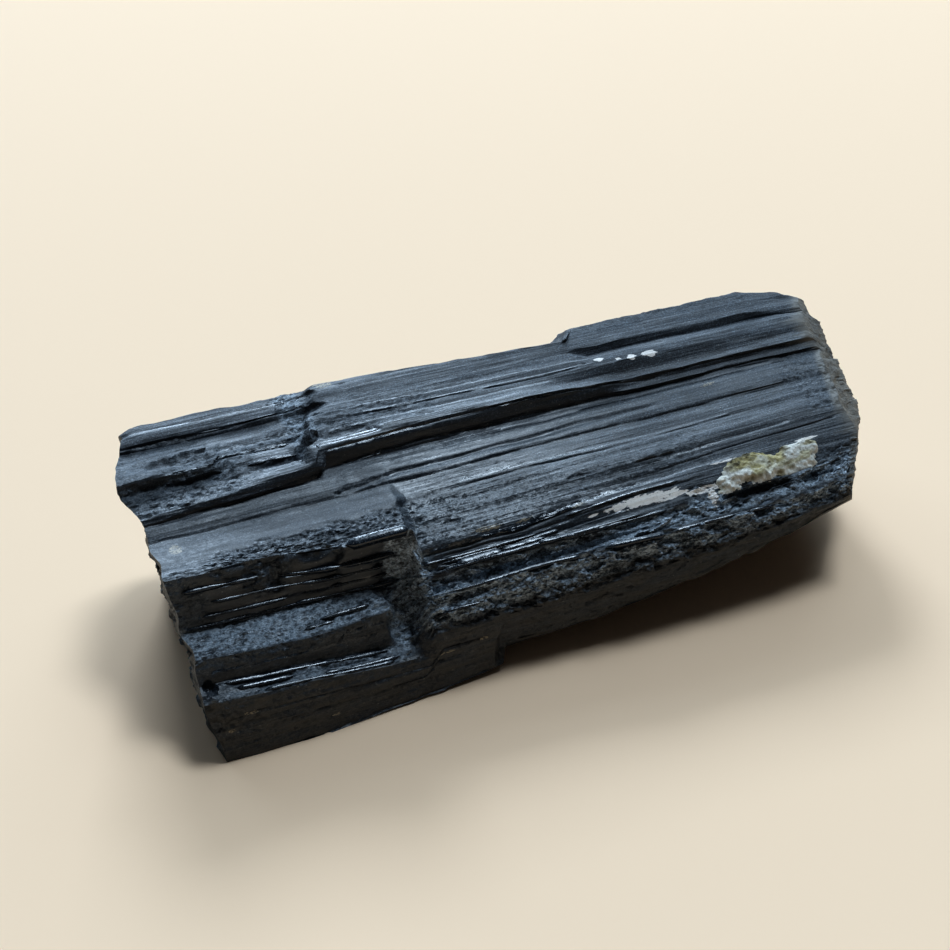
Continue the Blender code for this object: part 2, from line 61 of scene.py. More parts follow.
EDGES = {
    # Near side: the lower face, a narrow strip, a riser, the shelf, the tall riser and the main facet.
    "foot": (
        (-30, -13.2, 0), (-20, -13.5, 0), (-9, -12.6, 0.3), (-4.3, -12.3, 0.7), (-3.7, -11.4, 1.8),
        (5, -12.3, 2.6), (10, -12.5, 3.4), (17, -12.4, 4.5), (24, -12.4, 5.9), (30, -11.7, 7),
        (38, -10.6, 8),
    ),
    "face_top": (
        (-30, -11.9, 5.2), (-20, -12.2, 4.7), (-14, -12, 3.8), (-10.6, -11.7, 3.5), (-9.4, -11.5, 5.3),
        (0, -11.5, 5.1), (10, -12.3, 6.1), (24, -12.3, 7.3), (30, -11.6, 7.7), (38, -10.5, 8.6),
    ),
    "strip_back": (
        (-30, -10.2, 5.7), (-20, -10.5, 5.2), (-14, -10.4, 4.3), (-11, -10.2, 4.1), (-9.5, -10.9, 6.5),
        (0, -11, 6.6), (10, -11.9, 7.4), (24, -12, 8.1), (30, -11.3, 8.2), (38, -10.2, 9.1),
    ),
    "shelf_edge": (
        (-30, -9.5, 7.7), (-20, -9.9, 7.1), (-12.6, -9.6, 7.3), (-11.9, -8.6, 5.2), (-10.4, -8.6, 5.4),
        (-9.5, -10.2, 7.9), (0, -10.3, 8), (10, -11.2, 8.7), (24, -11.6, 8.8), (30, -10.9, 9),
        (38, -9.8, 9.9),
    ),
    "furrow": (
        (-30, -8.6, 7.85), (-20, -8.7, 7.3), (-12.8, -8.7, 7.5), (-11.8, -8, 6.2), (-10.2, -8, 6.6),
        (-9.3, -9.4, 7.9), (0, -9.5, 8.1), (8, -10.1, 8.9), (16, -10.6, 9.25), (30, -10.1, 9.4),
        (38, -8.9, 10.2),
    ),
    "shelf_back": (
        (-30, -6.8, 8.3), (-20, -6.6, 7.9), (-13, -7, 8), (-11.6, -6.7, 7.4), (-9.8, -6.9, 8),
        (-9.1, -8.6, 8.9), (0, -8.7, 9), (10, -9.3, 9.8), (24, -9.5, 9.9), (30, -9.1, 9.9), (38, -7.9, 10.7),
    ),
    "riser_top": (
        (-30, -5.4, 12.6), (-20, -5.4, 12), (-15.6, -5.6, 11.6), (-15.2, -6.2, 12), (-9.4, -6.6, 12.4),
        (-8.9, -7.3, 9.8), (0, -7.4, 9.9), (6, -7.4, 10.75), (10, -7.2, 10.95), (30, -7.1, 11),
        (38, -6, 11.5),
    ),
    "crack_top": (
        (-30, -5.2, 12.65), (-20, -5, 12.1), (-15.3, -5.4, 11.8), (-9.5, -5.9, 12.4), (-8.8, -7.1, 10.4),
        (0, -7.2, 10.45), (6, -6.9, 11), (30, -6.6, 11.25), (38, -5.6, 11.7),
    ),
    "facet_low": (
        (-30, -4.7, 12.7), (-20, -4.1, 12.3), (-9.5, -4.1, 12.4), (-8.6, -3.9, 11.8), (0, -3.9, 11.8),
        (10, -4.8, 12.1), (38, -4.2, 12.4),
    ),
    "crease_low": ((-30, -1, 13), (38, -1, 13)),
    "crease_high": ((-30, -0.8, 13.1), (-16, -0.75, 13.2), (38, -0.75, 13.25)),
    "band_top": ((-30, 0.3, 13.6), (-14, 0.85, 13.75), (38, 1, 13.75)),
    # Top: the long dark riser and the raised ridge block behind it, which starts at a broken wall.
    "ridge_foot": (
        (-30, 0.5, 13.65), (-14.6, 1.1, 13.8), (-14, 1.9, 13.9), (0, 2.2, 13.95), (38, 2.05, 13.8),
    ),
    "rib_front": (
        (-30, 0.6, 13.8), (-20, 0.8, 14.1), (-14.6, 1.2, 14.2), (-14, 2.1, 14.4), (0, 2.35, 14.5),
        (12, 2.3, 14.4), (16, 2.15, 14.25), (38, 2.15, 14.2),
    ),
    "rib_back": (
        (-30, 0.7, 13.9), (-20, 0.9, 14.3), (-14.6, 1.35, 14.5), (-14, 2.3, 15), (0, 2.6, 15.1),
        (12, 2.5, 14.9), (16, 2.75, 14.45), (38, 2.7, 14.35),
    ),
    "ridge_front": (
        (-30, 0.9, 14.05), (-20, 1.1, 14.6), (-14.7, 1.6, 14.9), (-14.1, 2.5, 15.6), (-4, 2.9, 15.7),
        (5, 2.75, 15.8), (12, 2.7, 15.4), (16, 2.9, 14.95), (38, 2.85, 14.85),
    ),
    "ridge_groove": (
        (-30, 2.4, 14.4), (-15, 2.7, 14.9), (-14.2, 3.5, 15.9), (5, 3.8, 15.85), (15, 3.7, 15.15),
        (38, 3.6, 15.05),
    ),
    "pit_near": (
        (-30, 3.7, 14.6), (-21.8, 3.7, 14.8), (-21.2, 3.9, 15.1), (-14.6, 3.9, 15.2), (-14, 5, 16.25),
        (12, 4.7, 16), (38, 4.5, 15.4),
    ),
    "pit_far": (
        (-30, 4.3, 15.6), (-21.8, 4.2, 15.6), (-21, 5.4, 15.4), (-13.9, 5.6, 15.5), (-13.3, 6.2, 16.5),
        (12, 5.8, 16.15), (38, 5.6, 15.6),
    ),
    "far_groove": (
        (-30, 8.7, 15.3), (-20, 8.1, 15.55), (-13.8, 7.9, 15.8), (-11.8, 7.5, 16.65), (0, 6.6, 16.35),
        (11.5, 6.7, 16.25), (12.5, 6.9, 15.7), (30, 6.8, 15.5), (38, 6.3, 15.2),
    ),
    "far_strip": (
        (-30, 9, 15.8), (-20, 8.5, 16.1), (-13.8, 8.3, 16.3), (-11.8, 8.1, 16.8), (0, 7.4, 16.55),
        (11.4, 7.3, 16.35), (12.4, 7.3, 16.35), (30, 7.2, 16.1), (38, 6.6, 15.3),
    ),
    "far_edge": (
        (-30, 10.2, 15.4), (-27.6, 11, 16.3), (-20, 10.6, 16.4), (-12.6, 10.3, 16.5), (-11.9, 9.9, 17.2),
        (0, 9.2, 17), (11.4, 8.6, 16.7), (12.6, 10.2, 16.8), (30, 10.3, 16.5), (34, 9.4, 16.1),
        (38, 7.2, 15.2),
    ),
    # Back: a shoulder, a rib, the tall back face and a broken lower ledge.
    "back_shoulder": (
        (-30, 12.1, 14.2), (-11, 12, 15), (11.5, 11.4, 14.9), (13, 12.3, 15), (33, 12, 14.4),
        (38, 9.6, 13.8),
    ),
    "rib_top": ((-30, 13, 12.4), (6, 13, 12), (7, 12.5, 12), (33, 12.7, 11.6), (38, 10.7, 11.2)),
    "rib_low": ((-30, 12.5, 11.6), (6, 12.4, 11.1), (7, 12.4, 11.3), (33, 12.4, 10.8), (38, 10.5, 10.4)),
    "back_low": ((-30, 12.9, 6.6), (-2, 13.2, 6.2), (33, 12.7, 6.6), (38, 10.6, 7)),
    "ledge_out": (
        (-30, 12.6, 5.4), (-18, 12.8, 4.4), (-17, 12, 4.9), (10, 12.3, 4.4), (11, 12.7, 3.6),
        (33, 12.2, 4.4), (38, 10.2, 5.4),
    ),
    "ledge_in": (
        (-30, 11.6, 4.9), (-18, 12, 3.4), (-17, 10.9, 4.3), (10, 11.2, 4), (11, 12, 2.4), (33, 11.2, 3.6),
        (38, 9.4, 4.8),
    ),
    "back_foot": ((-30, 10.6, 0.9), (-10, 10.9, 0.6), (20, 10.4, 0.7), (33, 9.4, 2), (38, 7.8, 3.6)),
    # Sole: the flat that the crystal rests on, and the facet that rises to the lifted front foot.
    "sole_far": ((-30, 9.6, 0), (16, 9.2, 0), (28, 7.6, 0.9), (38, 5.8, 2.6)),
    "sole_near": (
        (-30, -12.4, 0), (-10, -11.4, 0), (-3, -9.6, 0), (16, -4.2, 0), (28, -2.4, 1.6), (38, -1.5, 3.6),
    ),
    "under_rib": (
        (-30, -12.9, 0), (-10, -12.1, 0.1), (-3, -10.4, 0.6), (16, -8.2, 1.9), (28, -7.4, 3.8),
        (38, -6.4, 5.4),
    ),
}

NAMES = list(EDGES)
COUNT = len(NAMES)

# How far apart the lengthwise lines and the sections of the fine skin are. The lines lie closer up to the
# far edge, and wider on the back and the sole.
NEAR_SPACING, FAR_SPACING, STATION_STEP = 0.125, 0.42, 0.165
NEAR_LAST = NAMES.index("far_edge")

# Where the sections would end if the breaks were square, and how far from there they shift to meet them.
LEFT_BREAK, RIGHT_BREAK, END_ZONE = -28, 34, 8

# A point of an edge that is lower than this rests on the floor.
RESTING = 0.01

# How far the edges stray from their straight runs, and the marks in x between which they do.
STRAY_Y, STRAY_Z = 0.07, 0.05
STRAY_MARKS = np.linspace(-34, 42, 40)

# The broken ends, as planes x = at + per_y * y + per_z * z, with a tongue of the ridge further out on the
# left, then the middle of each end face in y and z, and the number of rings from its rim to its middle.
LEFT_PLANE = (-27, 0.07, -0.14)
RIGHT_PLANES = ((36.2, 0.12, 0), (38.3, 0.72, 0), (53.3, 0.66, -1.43), (31.8, 0.25, 0.75))
TONGUE_Y, TONGUE_Z, TONGUE_REACH = (3.5, 7), (14.2, 18), 1.4
LEFT_CENTRE, RIGHT_CENTRE = (-0.5, 5.5), (0.5, 8.5)
CAP_RINGS = 34

# Broken, granular ground: from place to place, from x to x, and how deep it is worn.
ROUGH = (
    (15.2, 17.6, -31, -21, 0.24), (15.6, 18.2, -21, -14.6, 0.1), (17.4, 18.4, -31, -14.2, 0.14),
    (18.4, 19.6, -31, -23, 0.12), (6, 8.1, -25, -9.2, 0.26), (6.2, 8, -31, -25, 0.1),
    (5, 5.9, -31, -26.5, 0.22), (5.4, 6.6, -22.6, -20.2, 0.3), (3.2, 4.9, -31, -11.5, 0.22),
    (2.6, 3.3, -31, -12, 0.2), (1.2, 2.1, -24, -12, 0.16), (2.2, 3.1, -31, -9.5, 0.1),
    (1.1, 3.05, -9.6, 40, 0.42), (3.55, 4.75, -9.6, 40, 0.34), (4.75, 5.4, 15, 40, 0.3),
    (6.4, 8.25, -9.2, -3.5, 0.09), (6.9, 8.3, -3.5, 18, 0.055), (5.1, 8, -10.2, -8.2, 0.2),
    (2, 6, -11.9, -8.6, 0.34), (0, 1.1, -4, 40, 0.07), (0, 1, -25, -4, 0.035),
    (17, 21.5, -15.2, -12.8, 0.14), (16, 18, -14, -3, 0.1), (18.2, 19.8, -13, 8, 0.03),
    (21.8, 23, -31, 40, 0.1), (20.6, 22, 11, 31, 0.06), (24, 26, -31, 40, 0.1), (26, 28.2, -31, 40, 0.34),
    (0.2, 1.2, -31, -25.5, 0.12), (29, 31, -9, 40, 0.16), (8, 12, 30, 40, 0.1),
)

# Thin ledges: the place where each one steps in, from x to x, and how far it steps. A ledge steps over the
# first length and fades over the second.
LEDGE_STEP, LEDGE_FADE = 0.09, 1.1
LEDGES = (
    (5.7, -28, -22.4, 0.22), (5.62, -20.4, -11.2, 0.22), (5.22, -27, -12, 0.08), (4.12, -18.2, -13.8, 0.2),
    (3.72, -19.6, -17.2, 0.16), (1.86, -27.6, -12.8, 0.12), (1.56, -26, -21.5, 0.14),
    (1.4, -19, -12.6, 0.12), (1.18, -24, -13, 0.1), (2.42, -27, -14, 0.08), (2.7, -22, -13, 0.07),
    (5.3, -9, 9, 0.12), (5.62, -8.8, 4, 0.09), (5.14, -9, 12, 0.1), (6.4, -8.6, 5.5, 0.07),
    (6.62, -5, 14, 0.06), (6.84, -4, 20, 0.05), (3.42, -9.4, 10, 0.1), (3.8, -8.8, 1, 0.12),
    (14.5, -14, 15, 0.05), (15.35, -13.6, -8, 0.12), (15.62, -13.8, -8.8, 0.1), (16.5, -12, 8, 0.1),
    (17.4, -9, 12, 0.12), (18.1, -9, 20, 0.1), (8.55, -3, 22, 0.06), (7.7, 14, 27, 0.07),
    (18.2, -22, -15, 0.16), (17.8, -26, -16, 0.1), (19.6, -30, -14, 0.12), (20.5, -30, -13, 0.12),
    (21.5, -28, 12, 0.1), (23.4, -30, 34, 0.16), (24.6, -30, 34, 0.1),
)

# Dark creases and cracks: where each one runs, as pairs of x and place, then its half width and its depth.
GROOVES = (
    (((-29, 9.1), (-17, 9.1)), 0.1, 0.04), (((-13, 9.9), (-8, 10.35), (4, 10.45), (15, 10.6)), 0.26, 0.15),
    (((-3, 8.45), (22, 8.5)), 0.1, 0.06), (((-27.5, 19.6), (-15, 19.8)), 0.16, 0.18),
    (((-22, 17.7), (-15, 17.75)), 0.2, 0.24), (((-18.5, 16.35), (-14.6, 16.2)), 0.26, 0.3),
    (((-9, 6.02), (4, 6.05)), 0.12, 0.16), (((-9.2, 3.85), (10, 3.95)), 0.18, 0.24),
    (((-6, 5.8), (16, 5.75)), 0.09, 0.09), (((13.5, 12.4), (24.5, 12.5)), 0.16, 0.16),
    (((26.5, 12.5), (33.5, 12.6)), 0.16, 0.14), (((-28, 11.1), (-16, 11.3)), 0.1, 0.07),
    (((2, 11.5), (30, 11.6)), 0.1, 0.09), (((-12, 12.55), (12, 12.5)), 0.13, 0.14),
    (((-12, 14.7), (14, 14.6)), 0.1, 0.1), (((14, 14.4), (31, 14.5)), 0.12, 0.11),
    (((-10, 17.2), (10, 17.3)), 0.12, 0.13), (((2, 9.4), (28, 9.5)), 0.08, 0.08),
    (((-27, 1.75), (-14, 1.7)), 0.1, 0.12), (((-25, 0.75), (-6, 0.7)), 0.09, 0.08),
    (((-22, 0.45), (-9, 0.5)), 0.08, 0.07), (((14, 7.35), (31, 7.4)), 0.09, 0.1),
)

# Fine glossy ribs, each of which catches a thin line of light: where it runs, its half width and its height.
# They face a little to the near side. Each is a squarish fin, whose lower half reaches deeper to root it in
# the skin, and the wide ones don't break off.
LIT = (-0.044, -0.329, 0.943)
RIB_SIDES, RIB_SQUARENESS, RIB_RISE, RIB_ROOT, RIB_LIFT = 12, 0.4, 1.2, 2.2, 0.06
RIB_STEP, RIB_EASE, WIDE_RIB = 2, 25, 0.25
RIBS = (
    (((-28, 5.74), (-22, 5.73)), 0.16, 0.11), (((-20.5, 5.66), (-11, 5.6)), 0.17, 0.12),
    (((-26, 5.46), (-12, 5.42)), 0.13, 0.07), (((-19.5, 5.05), (-10.8, 5.03)), 0.17, 0.12),
    (((-27, 5.22), (-20, 5.2)), 0.13, 0.07), (((-16.5, 5.24), (-11.5, 5.22)), 0.12, 0.06),
    (((-14.8, 6.12), (-9.5, 6.12)), 0.4, 0.22), (((-18.2, 4.1), (-14, 4.1)), 0.14, 0.09),
    (((-19.6, 3.72), (-17.2, 3.72)), 0.14, 0.09), (((-27, 1.9), (-13, 1.88)), 0.16, 0.09),
    (((-26, 1.55), (-21.5, 1.55)), 0.16, 0.1), (((-19, 1.42), (-12.6, 1.4)), 0.15, 0.09),
    (((-24, 1.2), (-13, 1.2)), 0.14, 0.08), (((-9, 3.25), (4, 3.2)), 0.16, 0.11),
    (((6, 3.2), (8.9, 3.02), (11.4, 2.96)), 0.2, 0.16), (((-8.4, 5.05), (10, 5.02)), 0.15, 0.1),
    (((-7.5, 5.45), (3, 5.42)), 0.15, 0.09), (((-6.4, 5.2), (-2.2, 5.22)), 0.3, 0.12),
    (((-2.4, 5.26), (1.6, 5.32)), 0.22, 0.1), (((0.5, 5.12), (8.2, 4.86)), 0.18, 0.11),
    (((-28.5, 5.04), (-17, 5.03)), 0.13, 0.08), (((-9, 5.62), (1, 5.58)), 0.13, 0.07),
    (((3, 4.9), (12.5, 4.86)), 0.15, 0.09), (((4, 5.92), (14.5, 5.88)), 0.13, 0.07),
    (((-19.6, 16.72), (-15.6, 16.66)), 0.2, 0.1), (((-19, 17.6), (-15.8, 17.5)), 0.16, 0.09),
    (((-11, 2.05), (-5, 2.1)), 0.12, 0.07), (((12, 3.1), (22, 3.05)), 0.13, 0.07),
)

# Lengthwise striae: how high they stand, their length and their width.
STRIAE = ((0.085, 15, 0.85), (0.05, 11, 0.42), (0.022, 7, 0.2))

# Zones of the skin: a share, then a range of places and one of x, each with its soft border. First comes how
# much calmer the striae are, then where painted sheen pales the broken ground that little light reaches, and
# how dirty the low faces are.
ANY_X = (-50, 50, 1)
CALM = (
    (0.8, (8.2, 8.95, 0.1), (-31, -7, 3)), (0.5, (9.2, 12, 0.3), ANY_X),
    (0.7, (5.05, 5.95, 0.1), (-29, -11.5, 0.5)),
)
PAINTED_SHEEN_ZONES = (
    (1, (1.6, 4.9, 0.3), (-11.5, 32, 1.5)), (1, (2.5, 6.2, 0.3), (-11.8, -8.6, 0.5)),
    (0.7, (3.35, 4.9, 0.2), (-31, -12, 0.5)), (0.5, (1.15, 1.95, 0.1), (-31, -12, 0.5)),
    (0.8, (16.5, 21.5, 0.3), (-15.2, -13.4, 0.4)),
)
NO_PAINTED_SHEEN_ZONES = ((1, (4.1, 4.9, 0.2), (18.5, 24.5, 0.6)),)
DIRTY = (
    (1, (-1, 1, 0.3), ANY_X), (1, (28.6, 40, 0.5), ANY_X), (1, (0, 1.8, 0.5), (3, 40, 8)),
)

# Smooth, glossy ground: from x to x, from place to place, and how far it stands proud.
SMOOTH = ((-14.6, -10.1, 6.03, 6.75, 0.12), (-19, -16.2, 16.8, 17.3, 0.02), (5.5, 11.4, 3, 3.35, 0.06))

# Deeper pits: x, place, half length, half width in places, and depth.
PITS = (
    (-22.6, 6.3, 3.2, 0.5, 0.35), (-17.4, 6.2, 1.6, 0.35, 0.3), (-20.8, 5.9, 0.8, 0.5, 0.45),
    (-5.4, 7.5, 0.8, 0.12, 0.14), (6.1, 7.85, 0.9, 0.07, 0.14), (12.8, 7.85, 1.2, 0.07, 0.2),
    (14.8, 7.85, 0.8, 0.07, 0.18), (4.2, 21.5, 0.5, 0.25, 0.4), (6, 21.5, 0.3, 0.2, 0.25),
    (-24.6, 16.9, 2.4, 0.35, 0.3), (-27.5, 17.3, 1.2, 0.3, 0.3), (-11, 16.2, 1.6, 0.25, 0.2),
    (-8.2, 5, 0.8, 0.5, 0.4), (-6.9, 4.4, 1.4, 0.25, 0.35), (-3.6, 4.2, 1.4, 0.2, 0.3),
    (0.9, 4.4, 1.2, 0.3, 0.35), (5.2, 4.5, 1.3, 0.3, 0.32), (9.4, 4.4, 1.5, 0.3, 0.32),
    (13.2, 4.5, 1.2, 0.35, 0.35), (21, 4.55, 3.4, 0.42, 0.8), (18.6, 4, 1.3, 0.4, 0.4),
    (26.2, 4.2, 1.5, 0.4, 0.4), (11.8, 2.4, 1.6, 0.4, 0.4), (2, 2.2, 1.2, 0.4, 0.32),
    (7.4, 1.9, 1.3, 0.4, 0.32), (16.4, 2.6, 1.2, 0.5, 0.4), (20.6, 2.6, 1.2, 0.5, 0.42),
    (-28.6, 0.8, 1.1, 0.7, 0.4), (-27.9, 1.8, 0.6, 0.4, 0.5), (-6, 2.6, 1.4, 0.3, 0.3),
    (-11.5, 2.6, 1.2, 0.6, 0.35), (-10.8, 4, 0.9, 0.7, 0.35), (-14.6, 16.5, 1.2, 0.7, 0.6),
    (-24.8, 18.3, 2.6, 0.3, 0.45),
)

# Thin white film and tan spots, drawn by the shader: x, place, half length, and half width in places.
FILM = (
    (11, 5.5, 3.6, 0.22), (13.6, 5.42, 1.6, 0.1), (16.4, 5.3, 1.9, 0.12), (17, 4.95, 0.5, 0.45),
    (16.8, 4.5, 0.25, 0.35), (13.3, 17.6, 0.48, 0.24), (15.1, 17.2, 0.3, 0.15), (16.4, 17.1, 0.45, 0.26),
    (18.2, 17.1, 0.8, 0.34), (6.1, 5.52, 0.5, 0.06), (19.3, 6.6, 1.4, 0.25), (27.6, 6.5, 1.2, 0.25),
)
TAN = (
    (-3, 7.12, 1.6, 0.06), (0.4, 7.06, 0.8, 0.05), (5.2, 6.6, 0.5, 0.35), (-11, 20.9, 0.8, 0.25),
    (-27.5, 8.66, 0.55, 0.15), (-25.2, 0.72, 0.6, 0.03), (-27, 0.5, 0.3, 0.03), (-18.6, 0.28, 0.4, 0.02),
    (-8.8, 0.62, 0.9, 0.02), (-5.4, 0.66, 0.4, 0.03), (22, 11, 0.8, 0.12),
)


# ---- Repeatable noise ----
# Each use has a seed of its own, which is only a number to draw from.

LATTICE = 64


def soft_noise(points, size, seed, crisp=False):
    """Bumps between -1 and 1 over space, of one size along each axis. Crisp ones keep creases."""
    table = np.random.default_rng(seed).uniform(-1, 1, (LATTICE,) * 3).astype(np.float32)
    scaled = (points / np.array(size, float)).astype(np.float32)
    low = np.floor(scaled)
    part = scaled - low
    if not crisp:
        part = part * part * (3 - 2 * part)
    low = low.astype(np.int32)
    value = np.zeros(points.shape[:-1], np.float32)
    for corner in np.ndindex(2, 2, 2):
        weight = np.ones(points.shape[:-1], np.float32)
        for axis in range(3):
            weight = weight * (part[..., axis] if corner[axis] else 1 - part[..., axis])
        cell = [(low[..., axis] + corner[axis]) % LATTICE for axis in range(3)]
        value += weight * table[tuple(cell)]
    return value


def crumbs(points, size, seed):
    """Flat, randomly tilted grains between about -1 and 1, with steps between them, over space."""
    scaled = (points / np.array(size, float)).astype(np.float32)
    cell = np.floor(scaled).astype(np.int32)
    rng = np.random.default_rng(seed)
    place = rng.uniform(0, 1, (*(LATTICE,) * 3, 3)).astype(np.float32)
    grain = rng.uniform(-1, 1, (*(LATTICE,) * 3, 4)).astype(np.float32)
    nearest = np.full(scaled.shape[:-1], 9, np.float32)
    value = np.zeros(scaled.shape[:-1], np.float32)
    for step in np.ndindex(3, 3, 3):
        other = cell + (np.array(step) - 1)
        key = tuple((other % LATTICE)[..., axis] for axis in range(3))
        away = scaled - other - place[key]
        distance = (away * away).sum(axis=-1)
        closer = distance < nearest
        nearest = np.where(closer, distance, nearest)
        facet = 0.6 * grain[key][..., 0] + (grain[key][..., 1:] * away).sum(axis=-1)
        value = np.where(closer, facet, value)
    return value


def smooth_step(value, low, high):
    share = np.clip((value - low) / (high - low), 0, 1)
    return share * share * (3 - 2 * share)


def inside(value, low, high, soft):
    """1 between low and high, falling to 0 over a soft border outside them."""
    return np.clip((value - low) / soft + 1, 0, 1) * np.clip((high - value) / soft + 1, 0, 1)


def strongest(zones, places, x):
    """The strongest of the zones at each point."""
    shares = [share * inside(places, *round_it) * inside(x, *along) for share, round_it, along in zones]
    return np.max(shares, axis=0)


# ---- The plain skin ----


def wander(number, x):
    """How far an edge strays from its straight run, in millimetres."""
    table = np.random.default_rng(400 + number % COUNT).uniform(-1, 1, (2, len(STRAY_MARKS)))
    return STRAY_Y * np.interp(x, STRAY_MARKS, table[0]), STRAY_Z * np.interp(x, STRAY_MARKS, table[1])


def edge_at(number, x):
    """y and z of an edge at x."""
    marks, y, z = (np.array(values, float) for values in zip(*EDGES[NAMES[number % COUNT]]))
    y, z = np.interp(x, marks, y), np.interp(x, marks, z)
    stray_y, stray_z = wander(number, x)
    return np.array([y + stray_y, np.where(z < RESTING, 0, z + stray_z)])


def skin_at(x, place):
    """y and z of the plain skin at x and a place."""
    number = int(place)
    near, far = edge_at(number, x), edge_at(number + 1, x)
    return near + (far - near) * (place - number)


def lengthwise_places():
    """The places of all lengthwise lines, as many in each strip as its widest stretch needs."""
    x = np.linspace(LEFT_BREAK, RIGHT_BREAK, 60)
    places = []
    for number in range(COUNT):
        width = np.percentile(np.hypot(*(edge_at(number + 1, x) - edge_at(number, x))), 85)
        lines = max(1, round(width / (NEAR_SPACING if number < NEAR_LAST else FAR_SPACING)))
        places += [number + line / lines for line in range(lines)]
    return np.array(places)


def broken_relief(y, z, seed):
    """How far a broken end stands out of its planes."""
    points = np.stack([0 * y, y, z], axis=-1)
    return 0.42 * soft_noise(points, (1, 4.5, 4.5), seed) + 0.22 * soft_noise(points, (1, 1.7, 1.4), seed + 1)


def left_end(y, z):
    at, per_y, per_z = LEFT_PLANE
    tongue = TONGUE_REACH * inside(y, *TONGUE_Y, 3) * inside(z, *TONGUE_Z, 1)
    return at + per_y * y + per_z * z - tongue + broken_relief(y, z, 21)


def lowest_plane(planes, y, z):
    return np.min([at + per_y * y + per_z * z for at, per_y, per_z in planes], axis=0)


def right_end(y, z):
    return lowest_plane(RIGHT_PLANES, y, z) + 0.6 * broken_relief(y, z, 23)


def end_shifts(place):
    """Where one lengthwise line meets the left and the right break."""
    left, right = LEFT_BREAK, RIGHT_BREAK
    for _ in range(4):
        left = float(left_end(*skin_at(left, place)))
        right = float(right_end(*skin_at(right, place)))
    return left, right


def plain_skin(places):
    """The grid of plain skin points, one row for each section and one column for each lengthwise line."""
    nominal = np.linspace(LEFT_BREAK, RIGHT_BREAK, round((RIGHT_BREAK - LEFT_BREAK) / STATION_STEP))
    left_share = np.clip((LEFT_BREAK + END_ZONE - nominal) / END_ZONE, 0, 1)
    right_share = np.clip((nominal - RIGHT_BREAK + END_ZONE) / END_ZONE, 0, 1)
    girth = 1.4 * places
    along = np.stack([0 * girth, girth, 0 * girth], axis=-1)
    jitter = 0.42 * soft_noise(along, (1, 1.1, 1), 15) + 0.26 * soft_noise(along, (1, 0.33, 1), 16)
    grid = np.zeros((len(nominal), len(places), 3))
    for column, place in enumerate(places):
        left, right = end_shifts(place)
        x = nominal + left_share * (left - LEFT_BREAK) + right_share * (right - RIGHT_BREAK)
        grid[:, column] = np.column_stack([x, *skin_at(x + jitter[column], place)])
    return grid


def normals_of(grid):
    """Outward unit normals of the skin grid, from a slightly smoothed copy of it."""
    soft = grid.copy()
    for _ in range(2):
        soft = (np.roll(soft, 1, axis=1) + soft + np.roll(soft, -1, axis=1)) / 3
    across = np.roll(soft, -1, axis=1) - np.roll(soft, 1, axis=1)
    normal = np.cross(np.gradient(soft, axis=0), across)
    return normal / np.maximum(np.linalg.norm(normal, axis=-1, keepdims=True), 1e-9)


def convexity(grid, places):
    """How sharply the skin turns outward at edges near each point, and how far round the section each is."""
    wear = np.zeros(grid.shape[:2])
    steps = np.linalg.norm(np.roll(grid, -1, axis=1) - grid, axis=-1)
    girth = np.concatenate([np.zeros((len(grid), 1)), np.cumsum(steps, axis=1)], axis=1)
    for column in np.flatnonzero(places == np.floor(places)):
        before = grid[:, column, 1:] - grid[:, column - 2, 1:]
        after = grid[:, (column + 2) % len(places), 1:] - grid[:, column, 1:]
        turn = before[:, 1] * after[:, 0] - before[:, 0] * after[:, 1]
        size = np.linalg.norm(before, axis=1) * np.linalg.norm(after, axis=1)
        sharp = np.clip(turn / np.maximum(size, 1e-6), 0, 1)
        away = np.abs(girth[:, :-1] - girth[:, column : column + 1])
        wear = np.maximum(wear, sharp[:, None] * np.clip(1 - away / 0.34, 0, 1))
    return wear, girth[:, :-1]


def off_line(x, girth, places, run):
    """How far round the section each point is from a line that runs through pairs of x and place."""
    marks, heights = np.array(run, float).T
    middle = x[:, len(places) // 4]
    line = [np.interp(np.interp(at, marks, heights), places, row) for at, row in zip(middle, girth)]
    return girth - np.array(line)[:, None]


def line_relief(x, girth, places):
    """The thin ledges and the grooves, and how near each point is to the lit face of a ledge."""
    depth, shine = np.zeros(x.shape), np.zeros(x.shape)
    surface = np.stack([x, girth, 0 * x], axis=-1)
    for number, (place, low, high, step) in enumerate(LEDGES):
        sway = 0.05 * soft_noise(surface * (1, 0, 0), (7, 1, 1), 650 + number)
        away = off_line(x, girth, places, ((low, place), (high, place))) + sway
        ragged = 0.6 * soft_noise(surface, (0.8, 0.5, 1), 700 + number)
        along = inside(x + ragged, low, high, 0.35)
        depth -= step * np.clip(away / LEDGE_STEP, 0, 1) * np.clip(1 - away / LEDGE_FADE, 0, 1) * along
        shine = np.maximum(shine, along * inside(away, 0, 0.12, 0.08))
    for number, (run, half, deep) in enumerate(GROOVES):
        sway = 0.12 * soft_noise(surface * (1, 0, 0), (4, 1, 1), 750 + number)
        away = np.abs(off_line(x, girth, places, run) + sway)
        ragged = 0.8 * soft_noise(surface, (1.1, 0.4, 1), 780 + number)
        along = inside(x + ragged, run[0][0], run[-1][0], 1.4)
        wide = half * (1 + 0.5 * soft_noise(surface, (2.3, 0.6, 1), 790 + number))
        depth -= deep * np.clip(1.3 - away / wide, 0, 1) * along
    return depth, shine


def patch_masks(x, places, points):
    """How rough each point is, from 0 to 1, and how deep it is worn."""
    border = soft_noise(points, (1.9, 0.8, 0.8), 31) + 0.6 * soft_noise(points, (0.7, 0.4, 0.4), 32)
    rough, worn = np.zeros(x.shape), np.zeros(x.shape)
    for near, far, low, high, depth in ROUGH:
        mask = inside(places + 0.16 * border, near, far, 0.18) * inside(x + 0.9 * border, low, high, 0.7)
        rough = np.maximum(rough, mask * min(1, depth / 0.2))
        worn = np.maximum(worn, mask * depth)
    return rough, worn


